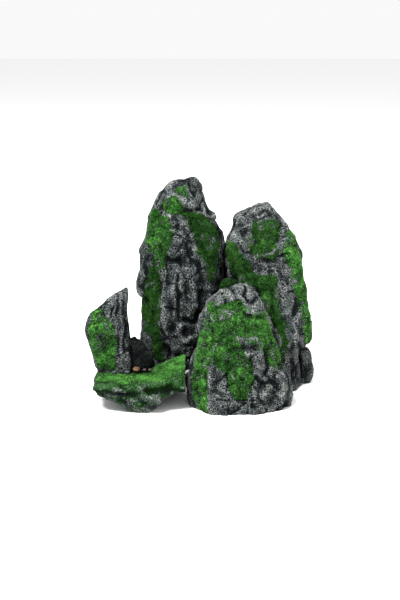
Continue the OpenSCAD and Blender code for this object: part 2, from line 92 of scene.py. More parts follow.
class StoneSettings(bpy.types.PropertyGroup):
    """Grain and paint of the cast stones"""
    grid: length_setting("Grid", 0.56, 0.4, 3, "Distance between the points of a stone's skin")
    easing: length_setting("Easing", 1.3, 0.5, 6, "How far the plain form's corners are eased")
    lump: length_setting("Lump pitch", 13, 6, 30, "Distance between the lumps that creases part")
    facet: FloatProperty(
        name="Facet slope", description="How steeply the broken faces of a stone tilt",
        default=0.10, min=0, max=0.6)
    crease: length_setting("Crease depth", 0.9, 0, 4, "Depth of the creases between two lumps")
    net: length_setting("Net pitch", 1.7, 1.2, 8, "Distance between two pits of the skin")
    pit: length_setting("Pit depth", 0.36, 0, 2, "Depth of the pits between the fine ridges")
    fine_net: length_setting("Painted net", 1.6, 0.5, 6, "Pitch of the net painted on the skin")
    wall_turns: IntProperty(
        name="Hollow rows", description="Rows of points up the inside of a hollow stone",
        default=24, min=6, max=80)
    hollow_paint: paint_setting("Hollows", (0.0025, 0.003, 0.0035), "Paint in pits and cracks")
    body_paint: paint_setting("Body", (0.042, 0.049, 0.052), "Paint between pit and ridge")
    ridge_paint: paint_setting("Ridges", (0.26, 0.275, 0.26), "Dry-brushed paint on the ridges")


class MossSettings(bpy.types.PropertyGroup):
    """Flock of the moss"""
    mat: length_setting("Mat", 0.45, 0.1, 2, "Height of the mat that the flock stands in")
    fibre: length_setting("Fibre length", 1.25, 0.4, 4, "Mean length of a fibre of the flock")
    breadth: length_setting("Fibre breadth", 0.30, 0.05, 1, "Breadth of a fibre at its root")
    density: FloatProperty(
        name="Density", description="Fibres on each square millimetre",
        default=8.0, min=0.5, max=20)
    deep_green: paint_setting("Deep green", (0.003, 0.012, 0.002), "Roots and dark tufts")
    green: paint_setting("Green", (0.020, 0.085, 0.014), "Flock over most of a patch")
    fresh_green: paint_setting("Fresh green", (0.105, 0.290, 0.060), "Tips of bright tufts")


class PebbleSettings(bpy.types.PropertyGroup):
    """Real gravel glued on the ledge"""
    wear: FloatProperty(
        name="Wear", description="Unevenness of a pebble as a share of its size",
        default=0.10, min=0, max=0.3)
    grey: paint_setting("Grey", (0.055, 0.07, 0.08), "The two grey pebbles")
    orange: paint_setting("Orange", (0.11, 0.06, 0.028), "The orange pebble")
    rose: paint_setting("Rose", (0.055, 0.038, 0.032), "The two rose pebbles")


class StageSettings(bpy.types.PropertyGroup):
    """Floor, lights and camera"""
    distance: FloatProperty(
        name="Distance", description="From the camera to the point that it looks at",
        default=0.750, min=0.3, max=3, subtype="DISTANCE")
    rise: FloatProperty(
        name="Rise", description="Angle at which the camera looks down",
        default=radians(15), min=0, max=1.5, subtype="ANGLE")
    aim: FloatVectorProperty(
        name="Aim", description="Where the camera looks, from the middle of the ornament's foot",
        default=(-0.00107, 0.00168, 0.06666), subtype="TRANSLATION")
    lens: FloatProperty(
        name="Lens", description="Focal length in millimetres", default=63.83, min=20, max=200)


SETTINGS = {
    "cave_stone": StoneSettings,
    "cave_moss": MossSettings,
    "cave_pebble": PebbleSettings,
    "cave_stage": StageSettings,
}

# Each stone: its slot, how its skin is built and how its paint differs from the plain paint
STONES = {
    "tall_peak": ("rock", {"hollow": True}, {"lift": -0.05}),
    "right_peak": ("rock", {"hollow": True}, {}),
    "front_boulder": ("rock", {"hollow": True}, {"lift": 0.02}),
    "ledge_slab": ("rock", {"axis": 0, "rough": 0.5, "green": 0.30},
        {"ridge": 0.9, "tinge": 0.9, "lift": 0.03}),
    "left_spire": ("rock", {"rough": 0.6, "raised": True}, {"tinge": 0.2}),
    "saddle_stone": ("rock_dark", {"rough": 0.8, "raised": True, "grow": 1.6 * MM},
        {"body": 0.2, "ridge": 0.25, "tinge": 0.3, "lift": -0.1}),
    # the keystone's low body, ridge and lift are painted shade: it lies in shadow, and its paint
    # is darkened for it
    "keystone": ("rock_mossy", {"rough": 0.5, "green": 0.5},
        {"body": 0.4, "ridge": 0.22, "tinge": 1.6, "lift": -0.26}),
    "heel_stone": ("rock", {"rough": 0.6}, {"ridge": 0.8}),
}

# Each stone's patches of moss, with the brightness of each as painted light and shade: 1 is the
# plain green, below 1 painted shade, above 1 painted light
PATCHES = {
    "left_spire": {"spire_moss": 1.25},
    "tall_peak": {"tall_brow_moss": 1.0, "tall_crown_moss": 1.0, "tall_left_moss": 0.95,
        "tall_foot_moss": 0.40, "tall_right_moss": 0.40},
    "right_peak": {"right_hollow_moss": 0.60, "right_left_moss": 0.50,
        "right_centre_moss": 0.58, "right_edge_moss": 1.35},
    "front_boulder": {"boulder_tip_moss": 1.1, "boulder_crown_moss": 1.2,
        "boulder_left_moss": 1.15, "boulder_centre_moss": 0.9, "boulder_shoulder_moss": 1.0},
    "ledge_slab": {"ledge_carpet_moss": 1.35},
}

# Each node of pebbles: its slot, its setting and how many pebbles it holds
PEBBLES = {
    "grey_pebbles": ("gravel_grey", "grey", 2),
    "orange_pebble": ("gravel_orange", "orange", 1),
    "rose_pebbles": ("gravel_rose", "rose", 2),
}

# Each lamp: its place from the point that the camera looks at, its diameter and its watts
LAMPS = {
    "key": ((-0.45, -0.50, 1.15), 0.5, 44.0),
    "fill": ((0.9, -0.5, 0.9), 0.9, 3.0),
    "back": ((0.5, 0.8, 1.0), 0.8, 9.0),
}
SKY_LIGHT = 0.95

# Soft relief: (height, pitch) in millimetres
RELIEF = {
    "broad": (0.8, 19), "swell": (0.6, 8), "flute": (0.35, 3.6), "grain": (0.16, 1.5),
    "fringe": (1.5, 3.2), "lobe": (1.2, 7.5),
}

# Shifts that keep patterns off straight lines: (distance, pitch) in millimetres
SHIFTS = {"bend": (1.5, 7), "twist": (0.55, 2.6), "wander": (0.9, 5)}

# Shares of a mark's stated height that a ridge and a crack get, and of its stated breadth
RIDGE_SHARE = 0.55
CRACK_SHARE = 0.60
BREADTH_SHARE = 1.2

# ---------------------------------------------------------------- the stones' marks
# A mark is (height, breadth, path): a ridge, or a crack if the height is below zero, seen from
# the front. Heights and breadths are in millimetres. A path's points are percentages of the
# stone's own width and height, from its lower left, and a path of one point is a knob or a pit.

MARKS = {
    "tall_peak": [
        (2.2, 2.2, [(27, 90), (34, 92), (43, 93), (51, 91)]),
        (-3.2, 2.0, [(30, 87), (40, 86), (54, 86), (70, 87)]),
        (-2.0, 1.2, [(59, 98), (61, 95), (66, 93)]), (1.5, 1.4, [(67, 88), (76, 86), (84, 83)]),
        (1.8, 1.4, [(71, 85), (80, 82), (90, 78)]), (1.6, 1.3, [(71, 82), (80, 79), (91, 75)]),
        (-1.8, 1.2, [(70, 86.5), (80, 84), (91, 80)]),
        (-1.8, 1.2, [(70, 83.5), (80, 80.5), (91, 76.5)]),
        (-2.6, 2.6, [(94, 78), (96, 72), (97, 64), (97, 57)]),
        (1.6, 1.6, [(34, 75), (40, 77), (50, 76), (56, 73), (53, 68), (45, 65), (35, 66), (32, 70),
            (34, 75)]),
        (-1.6, 1.3, [(30, 77), (40, 79), (52, 78.5), (60, 73), (57, 65.5), (45, 63), (32, 64),
            (28, 70)]),
        (2.6, 2.2, [(49, 83), (58, 76), (67, 68), (78, 61)]),
        (-2.0, 2.0, [(56, 83), (66, 76), (74, 68), (84, 62)]),
        (-1.6, 3.4, [(45, 63), (53, 61), (58, 58)]),
        (-2.4, 1.1, [(47, 57), (46, 50), (48, 43), (46, 35)]),
        (2.4, 3.0, [(61, 59), (63, 52), (64, 45), (62, 38)]),
        (-1.0, 1.2, [(54, 58), (56, 51), (56, 43)]), (-1.4, 2.0, [(71, 58), (73, 50), (73, 43)]),
        (-3.0, 1.9, [(56, 35), (64, 34), (72, 38)]),
        (2.2, 1.8, [(49, 32), (58, 33.5), (68, 31), (66, 27), (55, 25), (49, 28), (49, 32)]),
        (1.8, 1.6, [(52, 21), (60, 22), (68, 25)]), (-2.6, 2.0, [(32, 22), (40, 19), (47, 17)]),
        (1.8, 1.6, [(27, 45), (31, 39), (32, 34), (34, 28)]),
        (-2.2, 2.0, [(37, 46), (40, 38), (40, 31)]), (2.2, 3.0, [(5, 66)]), (2.0, 2.6, [(5, 56)]),
        (2.2, 2.8, [(5, 46)]), (-1.8, 1.6, [(12, 65), (8, 60), (12, 55), (8, 50), (12, 44)]),
        (1.8, 1.6, [(20, 88), (17, 83), (14, 77), (13, 71)]),
        (-1.6, 1.4, [(22, 57), (27, 52), (25, 47)]), (-1.5, 1.2, [(60, 66), (63, 63), (70, 60)]),
    ],
    "right_peak": [
        (2.4, 1.8, [(37, 74), (48, 75.5), (58, 78.5), (67, 82)]),
        (-2.2, 2.0, [(41, 71), (53, 72), (64, 75.5), (70, 79)]),
        (1.8, 1.8, [(25, 87), (28, 80), (35, 74)]), (-2.0, 1.2, [(36, 95), (44, 96.5), (50, 94)]),
        (1.6, 1.8, [(24, 96), (33, 98.5), (44, 98.5)]),
        (1.8, 2.0, [(16, 93), (12, 88), (8, 83), (3, 77)]),
        (2.0, 2.0, [(60, 93), (68, 88), (73, 83)]), (-1.4, 0.9, [(68, 55), (76, 54)]),
        (-2.4, 1.4, [(84, 27), (88, 17), (87, 8), (86, 0)]),
        (-2.0, 1.6, [(49, 68), (51, 60), (49, 51), (52, 42), (50, 30)]),
        (1.8, 1.8, [(55, 66), (57, 58), (55, 50), (58, 40)]),
        (-1.8, 1.5, [(15, 71), (22, 67), (28, 62)]), (1.6, 1.6, [(12, 66), (20, 62), (26, 58)]),
        (-2.4, 2.2, [(8, 60), (16, 55), (26, 50)]), (-1.5, 1.5, [(71, 48)]),
        (-1.6, 1.7, [(64, 40)]), (-1.4, 1.6, [(75, 33)]), (-1.4, 1.4, [(62, 58)]),
        (1.4, 2.2, [(68, 44)]), (1.5, 2.4, [(70, 28)]), (1.5, 1.8, [(74, 4), (80, 2.5), (85, 1)]),
    ],
    "front_boulder": [
        (2.2, 2.0, [(19, 83), (22, 85), (29, 89), (36, 93), (43, 92)]),
        (2.0, 2.4, [(41, 96), (47, 98.5), (52, 98)]), (-2.8, 1.2, [(55, 99), (55, 93), (57, 89)]),
        (2.2, 3.0, [(61, 93), (66, 90), (69, 84)]),
        (-2.8, 1.4, [(20, 81), (31, 84.5), (40, 86.5), (48, 89.5)]),
        (2.2, 1.3, [(49, 91.5), (53, 89), (58, 81), (64, 78.5), (71, 78)]),
        (-2.2, 1.3, [(50, 88), (55.5, 79), (62, 76.5), (71, 75.5)]), (-1.6, 0.8, [(33, 95)]),
        (2.4, 1.5, [(24, 76), (28, 71), (30, 62), (27, 54), (22, 43)]),
        (-2.4, 1.5, [(21.5, 74), (25, 68), (26.5, 62), (23, 53), (17, 42)]),
        (1.8, 2.4, [(15, 70), (14, 63)]), (-2.2, 3.0, [(11, 34), (17, 31)]),
        (1.8, 1.2, [(21, 39), (22, 28), (21.5, 16), (22, 4)]),
        (-1.8, 1.3, [(18.5, 37), (19, 26), (18.5, 14)]), (1.8, 1.8, [(36, 47)]),
        (-2.0, 1.2, [(39.5, 44), (38, 36), (40, 27), (43, 16)]),
        (1.7, 1.1, [(43, 45), (46, 41), (42, 34), (48, 27), (46, 19)]),
        (1.7, 1.1, [(53, 44), (51, 36), (56.5, 30), (54, 21)]),
        (2.2, 1.6, [(43, 56), (48, 60), (56, 58), (64, 61), (70, 56)]),
        (-1.8, 1.3, [(43, 51.5), (50, 54.5), (58, 53), (63, 54.5)]),
        (2.6, 2.0, [(71, 53), (68, 47), (71, 41), (69, 34)]),
        (-3.2, 1.5, [(61, 47), (59, 39), (61.5, 29), (60, 19), (62, 7)]),
        (-2.4, 1.4, [(76, 52), (78, 41), (75, 32), (80, 25)]),
        (-2.0, 1.3, [(86, 38), (92, 30), (97, 18)]),
        (-2.2, 1.4, [(65, 30), (71, 25.5), (80, 25), (86, 20)]),
        (2.2, 2.4, [(80, 47), (84, 41), (81, 35)]), (2.0, 2.4, [(89, 29), (94, 20), (88, 14)]),
        (2.0, 2.2, [(78, 20), (71, 17)]), (-1.6, 1.3, [(30, 13), (42, 12.5), (56, 13)]),
        (-1.8, 1.2, [(33, 64), (40, 66), (47, 70)]), (-1.6, 1.2, [(52, 66), (60, 69), (68, 68)]),
    ],
    "left_spire": [
        (-1.1, 0.9, [(75, 90), (71, 74), (76, 59), (70, 42), (72, 25)]),
        (-1.0, 0.8, [(88, 93), (85, 76), (89, 58), (86, 43), (88, 25)]),
        (-0.7, 0.8, [(62, 80), (60, 68), (65, 55), (61, 38)]),
        (0.7, 0.9, [(81, 94), (79, 74), (82, 56), (79, 39), (80, 22)]),
        (0.7, 0.9, [(68, 84), (66.5, 70), (70, 53), (66, 36)]),
        (0.7, 1.2, [(19, 70), (11, 56), (18, 42), (26, 29)]),
        (0.7, 0.9, [(95, 97), (92, 80), (93, 63), (97, 47)]), (-0.6, 0.8, [(45, 72), (60, 78)]),
        (-0.6, 0.8, [(74, 50), (90, 47)]),
    ],
    "ledge_slab": [
        (1.8, 1.3, [(2, 60), (10, 66), (22, 67), (29, 65), (37, 60), (45, 64), (54, 68), (68, 71),
            (82, 78)]),
        (-1.8, 1.5, [(3, 50), (12, 56), (23, 56), (37, 48), (55, 56), (69, 60)]),
        (2.2, 1.6, [(51, 60), (59, 50), (72, 32)]), (-2.2, 2.4, [(61, 62), (72, 62), (82, 58)]),
        (-1.8, 1.8, [(45, 50), (52, 36), (62, 18)]),
        (1.6, 1.6, [(6, 42), (22, 30), (39, 12), (57, 6)]),
        (-1.5, 1.6, [(12, 45), (26, 34), (36, 28)]), (-2.0, 1.6, [(84, 70), (91, 60), (98, 50)]),
        (1.8, 2.0, [(90, 70)]), (1.6, 1.8, [(86, 50)]), (1.6, 1.8, [(95, 60)]),
    ],
}

# Where a stone is smoother than elsewhere: (breadth in millimetres, path)
CALM = {
    "right_peak": [(9, [(70, 58), (68, 42), (73, 22)])],
}

# Where the swells that vary the marks start
MARK_SEED = 60

# ---------------------------------------------------------------- numbers on whole arrays


LATTICE_SIZE = 32
LATTICE = np.random.default_rng(11).random((LATTICE_SIZE,) * 3 + (7,))


def drawn(cells, seed):
    """Seven numbers from 0 to 1 for each whole lattice point: they are looked up in a block of
    fixed random numbers that repeats in every direction and is shifted for each seed."""
    x, y, z = np.moveaxis((cells + (7 * seed, 13 * seed, 29 * seed)) % LATTICE_SIZE, -1, 0)
    return LATTICE[x, y, z]


def swells(points, pitch, seed):
    """Soft hills and dips about a pitch apart, from -1 to 1: each lattice corner has its own
    slope, and the eight slopes round a point are blended by smooth weights."""
    place = points / pitch
    cell = np.floor(place).astype(np.int64)
    part = place - cell
    ease = part * part * (3 - 2 * part)
    total = np.zeros(points.shape[:-1])
    for corner in product((0, 1), repeat=3):
        weight = np.prod(np.where(corner, ease, 1 - ease), axis=-1)
        slope = drawn(cell + corner, seed)[..., :3]
        total += weight * ((2 * slope - 1) * (part - corner)).sum(-1)
    return np.clip(1.9 * total, -1, 1)


def pitted(points, pitch, seed):
    """How far a point is from the border between two pits, from 0 on it to about 1 within:
    one site is strewn in each cube, and it is the distance to the second nearest site less
    the distance to the nearest."""
    place = points / pitch
    cell = np.floor(place).astype(np.int64)
    near = np.full(points.shape[:-1], 9.0)
    second = near.copy()
    for step in product((-1, 0, 1), repeat=3):
        gap = place - cell - step - drawn(cell + step, seed)[..., :3]
        away = np.sqrt((gap * gap).sum(-1))
        second = np.minimum(second, np.maximum(near, away))
        near = np.minimum(near, away)
    return second - near


def facets(points, pitch, seed):
    """Broken faces: each strewn site has a plane through it with its own tilt, and the planes
    of the sites near a point are blended by a weight that falls steeply with distance."""
    place = points / pitch
    cell = np.floor(place).astype(np.int64)
    steepness = 14
    total = np.zeros(points.shape[:-1])
    weights = np.full(points.shape[:-1], 1e-9)
    for step in product((-1, 0, 1), repeat=3):
        numbers = drawn(cell + step, seed)
        gap = place - cell - step - numbers[..., :3]
        weight = np.exp(-steepness * np.sqrt((gap * gap).sum(-1)))
        tilt = 2 * numbers[..., 3:6] - 1
        total += weight * ((gap * tilt).sum(-1) * 2 + numbers[..., 6] - 0.5)
        weights += weight
    return total / weights * pitch


def eased(values, passes, wrap=True):
    """Each value shared with its neighbours along both directions of a grid, in quarters,
    a number of times; the columns close into a ring."""
    for _ in range(passes):
        if wrap:
            values = (np.roll(values, 1, 1) + 2 * values + np.roll(values, -1, 1)) / 4
        inner = (values[:-2] + 2 * values[1:-1] + values[2:]) / 4
        values = np.concatenate([values[:1], inner, values[-1:]])
    return values


def passes_for(reach, grid):
    """How often a grid is eased so that its values spread as far as a reach."""
    return int(2 * (reach / grid) ** 2)


def ramp(low, high, values):
    """0 below low, 1 above high, and a smooth step between."""
    part = np.clip((values - low) / (high - low), 0, 1)
    return part * part * (3 - 2 * part)


def outward(points):
    """Unit directions out of a grid whose columns run left round the form and whose rows run
    along it: the step to the next column crossed with the step to the next row."""
    across = np.roll(points, -1, 1) - np.roll(points, 1, 1)
    along = np.gradient(points, axis=0)
    out = np.cross(across, along)
    return out / np.maximum(np.linalg.norm(out, axis=-1, keepdims=True), 1e-12)


# ---------------------------------------------------------------- a stone's form


def corners_of(node):
    """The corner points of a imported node's triangles, as (triangle, corner, xyz)."""
    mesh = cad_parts[node].data
    mesh.calc_loop_triangles()
    points = np.empty(len(mesh.vertices) * 3, np.float32)
    mesh.vertices.foreach_get("co", points)
    picks = np.empty(len(mesh.loop_triangles) * 3, np.int32)
    mesh.loop_triangles.foreach_get("vertices", picks)
    return points.reshape(-1, 3)[picks].reshape(-1, 3, 3).astype(float)


def section(corners, axis, level, turns):
    """The cut through a closed form at one level: its middle, and at each turn round the
    middle the furthest and the nearest wall. A triangle that the level cuts gives a chord from
    its lone corner's two sides, and a turn's ray meets a chord where the two cross products
    with the chord's ends change sign."""
    flat = [i for i in range(3) if i != axis]
    under = corners[:, :, axis] < level
    cut = under.any(1) & ~under.all(1)
    under, tri = under[cut], corners[cut]
    few = under.sum(1) == 1
    lone = np.where(few, under.argmax(1), (~under).argmax(1))
    rows = np.arange(len(tri))
    first = tri[rows, lone]
    ends = []
    for step in (1, 2):
        other = tri[rows, (lone + step) % 3]
        part = (level - first[:, axis]) / (other[:, axis] - first[:, axis])
        ends.append(first[:, flat] + part[:, None] * (other - first)[:, flat])
    both = np.concatenate(ends)
    middle = (both.min(0) + both.max(0)) / 2
    a, b = ends[0] - middle, ends[1] - middle
    ray = np.stack([np.cos(turns), np.sin(turns)], -1)[:, None]
    side_a = ray[..., 0] * a[:, 1] - ray[..., 1] * a[:, 0]
    side_b = ray[..., 0] * b[:, 1] - ray[..., 1] * b[:, 0]
    share = side_a / np.where(side_a == side_b, 1, side_a - side_b)
    reach = ((a + share[..., None] * (b - a)) * ray).sum(-1)
    met = (side_a * side_b <= 0) & (reach > 0) & (side_a != side_b)
    far = np.where(met, reach, -1).max(1)
    near = np.where(met, reach, 9).min(1)
    return middle, far, near


def sections(corners, axis, levels, turns):
    """Middles, outer reaches and inner reaches of the cuts at several levels."""
    cuts = [section(corners, axis, level, turns) for level in levels]
    middles, far, near = (np.array(column) for column in zip(*cuts))
    lost = far <= 0
    far[lost] = far[~lost].min()
    return middles, far, near


def placed(middles, reach, levels, axis, turns):
    """Points of rings: a ring's middle plus its reach at each turn, in the plane of the cut."""
    flat = [i for i in range(3) if i != axis]
    points = np.empty((*reach.shape, 3))
    points[..., axis] = np.asarray(levels)[:, None]
    for i, wave in zip(flat, (np.cos(turns), np.sin(turns))):
        points[..., i] = middles[:, flat.index(i), None] + reach * wave
    return points


def form_of(node, axis, grid, easing, foot=None):
    """The plain form of a stone as a grid of rings along an axis, evenly spaced along its
    profile, with its corners eased."""
    corners = corners_of(node)
    low = corners[..., axis].min() if foot is None else foot
    high = corners[..., axis].max()
    hair = 0.02 * MM
    sketch = np.linspace(low + hair, high - hair, 120)
    few = np.linspace(0, 2 * pi, 24, endpoint=False)
    reach = sections(corners, axis, sketch, few)[1]
    steps = np.hypot(np.diff(sketch), np.diff(reach.mean(1)))
    length = np.concatenate([[0], np.cumsum(steps)])
    rows = max(8, int(length[-1] / grid))
    levels = np.interp(np.linspace(0, length[-1], rows), length, sketch)
    columns = max(24, int(2 * pi * np.percentile(reach.mean(1), 80) / grid))
    turns = np.linspace(0, 2 * pi, columns, endpoint=False)
    if axis == 0:
        turns = turns + pi / 2
    middles, far, near = sections(corners, axis, levels, turns)
    passes = passes_for(easing, grid)
    far = eased(far, passes)
    middles = eased(middles, passes, wrap=False)
    return levels, turns, middles, far, near


def relief(kind, points, seed):
    """Swells of a kind's height and pitch."""
    height, pitch = RELIEF[kind]
    return height * MM * swells(points, pitch * MM, seed)


def shift(kind, points, seed):
    """How far each point is shifted by swells in all three directions."""
    distance, pitch = SHIFTS[kind]
    waves = [swells(points, pitch * MM, seed + i) for i in range(3)]
    return np.stack(waves, -1) * distance * MM


def bells(points, box, out, marks):
    """A bell of the distance to each mark's path, seen from the front: 1 on the path, less
    beside it, and fading where the stone turns away from the front."""
    low, high = box
    size = high - low
    front = ramp(-0.05, 0.40, -out[..., 1])
    seen = (points + shift("wander", points, MARK_SEED))[..., [0, 2]]
    for breadth, path in marks:
        stops = low[[0, 2]] + np.array(path) / 100 * size[[0, 2]]
        away = np.linalg.norm(seen - stops[0], axis=-1)
        for start, end in zip(stops[:-1], stops[1:]):
            span = end - start
            part = np.clip(((seen - start) @ span) / (span @ span), 0, 1)
            foot = seen - start - part[..., None] * span
            away = np.minimum(away, np.linalg.norm(foot, axis=-1))
        yield front * np.exp(-(away / (breadth * MM)) ** 2)


def marks_on(points, box, out, marks):
    """Height of a stone's marks at each point, in metres: each mark's height times its bell,
    varied a little along the way."""
    vary = 1 + 0.5 * swells(points, 6 * MM, MARK_SEED + 6)
    shapes = bells(points, box, out, [(BREADTH_SHARE * wide, path) for _, wide, path in marks])
    heights = [(RIDGE_SHARE if mark[0] > 0 else CRACK_SHARE) * mark[0] * MM for mark in marks]
    return sum((height * vary * shape for height, shape in zip(heights, shapes)),
        np.zeros(points.shape[:-1]))


def weathering(points, stone, seed, rough, calm):
    """Height of the weathered skin at each point, in metres: broad swells, broken faces, lumps
    parted by creases, upright flutes, and a net of fine ridges round pits. The points are first
    shifted, so that nothing runs straight, and squashed, so that patterns are drawn out
    upwards. Where a stone is calm, its creases and its net fade."""
    facet_pitch = 17 * MM
    crease_breadth = 0.11
    ridge_breadth = 0.20
    ridge_mean = 0.45
    bent = points + shift("bend", points, seed + 10)
    twisted = bent + shift("twist", points, seed + 20)
    broad = relief("broad", points, seed) + relief("swell", bent, seed + 3)
    lumps = pitted(bent * (1, 1, 0.75), stone.lump, seed + 30)
    crease = -stone.crease * (1 - 0.9 * calm) * np.exp(-(lumps / crease_breadth) ** 2)
    broken = stone.facet * facets(bent * (1, 1, 0.7), facet_pitch, seed + 70)
    flutes = relief("flute", bent * (1, 1, 0.3), seed + 6)
    pits = pitted(twisted * (1, 1, 0.8), stone.net, seed + 40)
    strength = 0.75 + 0.45 * swells(points, 15 * MM, seed + 50)
    ridges = np.exp(-(pits / ridge_breadth) ** 2) - ridge_mean
    net = stone.pit * strength * (1 - 0.7 * calm) * ridges
    grain = relief("grain", points, seed + 55)
    return rough * (broad + broken + crease + flutes) + rough ** 0.5 * (net + grain)


def dry_brushed(height, grid):
    """Tone of the paint from 0 in a pit to 1 on a ridge: how far the skin stands above its own
    mean over a small and over a wider patch. Wide cracks darken more than wide ridges pale."""
    middle_tone = 0.46
    small_reach, wide_reach = 0.9 * MM, 3.6 * MM
    small = height - eased(height, passes_for(small_reach, grid) + 1)
    wide = height - eased(height, passes_for(wide_reach, grid) + 1)
    wide = np.where(wide > 0, 0.12, 0.50) * wide / (1.2 * MM)
    return np.clip(middle_tone + small / (0.50 * MM) * 0.10 + wide, 0, 1)


# ---------------------------------------------------------------- meshes


def mesh_piece(name, points, faces, face_maps, values=None, smooth=True):
    """A new object from whole arrays: points, lists of faces of one size each, a place on the
    flat map for every corner, and values carried by the points."""
    mesh = bpy.data.meshes.new(name)
    counts = np.concatenate([np.full(len(f), f.shape[1]) for f in faces])
    corners = np.concatenate([f.ravel() for f in faces])
    mesh.vertices.add(len(points))
    mesh.vertices.foreach_set("co", points.astype(np.float32).ravel())
    mesh.loops.add(len(corners))
    mesh.loops.foreach_set("vertex_index", corners.astype(np.int32))
    mesh.polygons.add(len(counts))
    starts = np.concatenate([[0], np.cumsum(counts)[:-1]])
    mesh.polygons.foreach_set("loop_start", starts.astype(np.int32))
    mesh.polygons.foreach_set("use_smooth", np.full(len(counts), smooth))
    flat_map = mesh.uv_layers.new(name="OFBake")
    places = np.concatenate([m.reshape(-1, 2) for m in face_maps])
    flat_map.uv.foreach_set("vector", places.astype(np.float32).ravel())
    for title, numbers in (values or {}).items():
        layer = mesh.attributes.new(title, "FLOAT", "POINT")
        layer.data.foreach_set("value", numbers.astype(np.float32).ravel())
    mesh.update()
    mesh.validate()
    piece = bpy.data.objects.new(name, mesh)
    bpy.context.scene.collection.objects.link(piece)
    return piece


def squares_of(grid):
    """The values at each square's four corners, in order round it, of a grid whose columns
    close into a ring."""
    after = np.roll(grid, -1, 1)
    return grid[:-1], after[:-1], after[1:], grid[1:]


def closed_grid(rows, columns):
    """Faces of a grid closed round its columns and by a pole at either end, and their places on
    the flat map. Point 0 is the first pole, then come the rows, then the last pole."""
    ids = 1 + np.arange(rows * columns).reshape(rows, columns)
    after = np.roll(ids, -1, 1)
    sides = np.stack(squares_of(ids), -1).reshape(-1, 4)
    last = rows * columns + 1
    start = np.stack([np.zeros(columns, int), after[0], ids[0]], -1)
    end = np.stack([ids[-1], after[-1], np.full(columns, last)], -1)
    left = np.arange(columns) / columns
    right = left + 1 / columns
    high = (np.arange(rows) + 1) / (rows + 1)
    u0, v0 = np.meshgrid(left, high[:-1])
    u1, v1 = np.meshgrid(right, high[1:])
    side_map = np.stack([u0, v0, u1, v0, u1, v1, u0, v1], -1).reshape(-1, 4, 2)
    middle = (left + right) / 2
    zero, one = np.zeros(columns), np.ones(columns)
    start_map = np.stack([middle, zero, right, zero + high[0], left, zero + high[0]], -1)
    end_map = np.stack([left, one * high[-1], right, one * high[-1], middle, one], -1)
    faces = [sides, np.concatenate([start, end])]
    maps = [side_map, np.concatenate([start_map, end_map]).reshape(-1, 3, 2)]
    return faces, maps


# What the moss needs to know of each finished stone
SKINS = {}


def inner_wall(node, axis, form, rows, low):
    """Rings down the inside of a hollow stone, from under the hollow's roof to the foot."""
    levels, turns, _, far, near = form
    least_wall = 2 * MM
    is_open = (near < far - least_wall).mean(1) > 0.9
    picks = np.linspace(levels[is_open].max() - 0.5 * MM, levels[0], rows)
    middles, _, reach = sections(corners_of(node), axis, picks, turns)
    wall = placed(middles, eased(reach, 3), picks, axis, turns)
    wall[-1, :, 2] = low
    return wall


# How much paler a stone's paint is where it is calm, and over its upper half
CALM_TONE = 0.14
TOP_TONE = 0.10


def greener(plain, share, seed):
    """How green a stained stone is at each point, against the mean: little over its lower third
    and about double at its top, with a ragged border between."""
    ragged = share + 0.22 * swells(plain, 6 * MM, seed + 80)
    return 0.4 + 1.8 * ramp(0.35, 0.95, ragged)


def standing_level():
    """Level at which the spire and the saddle stone stand: the lowest point of the grey
    pebbles, which lie on the ledge beside them."""
    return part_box("grey_pebbles")[0].z


def stone_piece(node, seed, axis=2, rough=1.0, hollow=False, raised=False, grow=0.0, green=0.0):
    """A stone's skin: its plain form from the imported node, moved outwards at each point by its
    weathering, its marks and what it grows by. A hollow stone's grid starts at the roof of the
    hollow, and runs down inside, under the rim and up outside. A raised stone stands on the
    ledge and sinks a little into its moss. Green is how stained a stone is, more at its top."""
    stone = bpy.context.scene.cave_stone
    grid = stone.grid * 1
    foot = standing_level() if raised else None
    form = form_of(node, axis, grid, stone.easing * rough, foot)
    levels, turns, middles, far, _ = form
    plain = placed(middles, far, levels, axis, turns)
    out = outward(plain)
    corners = corners_of(node).reshape(-1, 3)
    box = corners.min(0), corners.max(0)
    marks = marks_on(plain, box, out, MARKS.get(node, []))
    calm = sum(bells(plain, box, out, CALM.get(node, [])), np.zeros(plain.shape[:-1]))
    height = weathering(plain, stone, seed, rough, calm) + marks
    points = plain + out * (height + grow)[..., None]
    low = foot - 1.5 * MM if raised else box[0][2]
    points[..., 2] = np.maximum(points[..., 2], low)
    if axis == 2:
        points[0, :, 2] = low
    else:
        points[..., 0] = np.minimum(points[..., 0], box[1][0])
    share = (plain[..., 2] - box[0][2]) / (box[1][2] - box[0][2])
    tone = dry_brushed(height, grid) + CALM_TONE * calm + TOP_TONE * ramp(0.45, 1.0, share)
    greens = green * greener(plain, share, seed)
    rows = points
    if hollow:
        wall = inner_wall(node, axis, form, stone.wall_turns, low)
        rows = np.concatenate([wall, points])
    count, columns = rows.shape[:2]
    faces, maps = closed_grid(count, columns)
    cloud = np.concatenate([[rows[0].mean(0)], rows.reshape(-1, 3), [points[-1].mean(0)]])
    values = {}
    for kind, skin, inside in (("tone", tone, 0.3), ("calm", calm, 0.0), ("green", greens, green)):
        unseen = np.full(1 + count * columns - skin.size, inside)
        values[kind] = np.concatenate([unseen, skin.ravel(), [skin[-1].mean()]])
    piece = mesh_piece(node + "_stone", cloud, faces, maps, values)
    SKINS[node] = {
        "piece": piece, "plain": plain, "points": points, "out": outward(points), "tone": tone,
        "bare": np.clip(marks / (1.6 * MM), 0, 1), "green": greens,
        "offset": len(cloud) - 1 - points.shape[0] * columns,
    }
    return piece


# ---------------------------------------------------------------- moss


